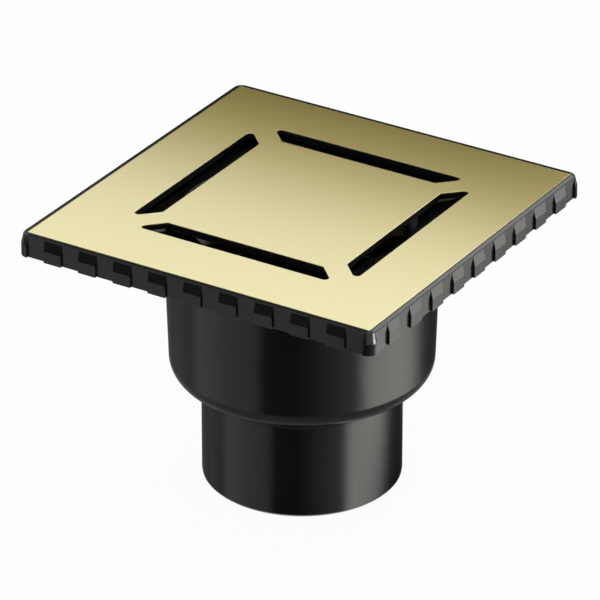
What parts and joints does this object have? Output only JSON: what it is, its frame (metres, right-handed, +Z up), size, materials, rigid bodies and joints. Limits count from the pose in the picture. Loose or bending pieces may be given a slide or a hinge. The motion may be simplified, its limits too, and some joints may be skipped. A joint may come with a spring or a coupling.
{
  "type": "gully trap",
  "caption": "Square floor drain with a gold slotted grate in a black lugged frame, a stepped round body with a spigot, and a lift-out bell trap with spring flaps.",
  "frame": {"origin": "middle of the spigot's lower end, on which the drain stands, on its axis", "axes": "+Z up along the drain's axis to the grate; X and Y along the grate's sides; the flap pin lies along Y"},
  "size_m": [0.15, 0.15, 0.1113],
  "materials": {
    "gold_sheet": "satin",
    "frame_black": "satin",
    "body_black": "satin",
    "insert_grey": "satin",
    "flap_white": "satin",
    "seal_rubber": "matte",
    "seat_silicone": "matte",
    "spring_steel": "bright"
  },
  "bodies": {
    "drain": {"drain_body": "body_black", "trap_cup": "insert_grey", "standpipe": "insert_grey", "valve_holder": "insert_grey", "trap_seal": "seal_rubber", "valve_seat": "seat_silicone", "flap_pin": "spring_steel", "trap_bell": "insert_grey"},
    "neck_ring": {"neck_seal": "seal_rubber"},
    "frame": {"top_frame": "frame_black", "grate_carrier": "frame_black", "cover_plate": "gold_sheet", "grate_pads": "seal_rubber", "hair_strainer": "frame_black"},
    "right_flap": {"flap_right": "flap_white", "spring_right": "spring_steel"},
    "left_flap": {"flap_left": "flap_white", "spring_left": "spring_steel"}
  },
  "joints": [
    {"name": "frame_swivel", "type": "hinge", "parent": "drain", "child": "neck_ring", "pos_m": [0, 0, 0.0983], "axis": [0, 0, 1], "continuous": true},
    {"name": "frame_raise", "type": "slide", "parent": "neck_ring", "child": "frame", "axis": [0, 0, 1], "range_m": [0, 0.018]},
    {"name": "right_flap_hinge", "type": "hinge", "parent": "drain", "child": "right_flap", "pos_m": [0, 0, 0.0387], "axis": [0, 1, 0], "range_deg": [0, 80], "stiffness_Nm_per_rad": 0.0003, "springref_deg": -57.3},
    {"name": "left_flap_hinge", "type": "hinge", "parent": "drain", "child": "left_flap", "pos_m": [0, 0, 0.0387], "axis": [0, -1, 0], "range_deg": [0, 80], "stiffness_Nm_per_rad": 0.0003, "springref_deg": -57.3}
  ]
}
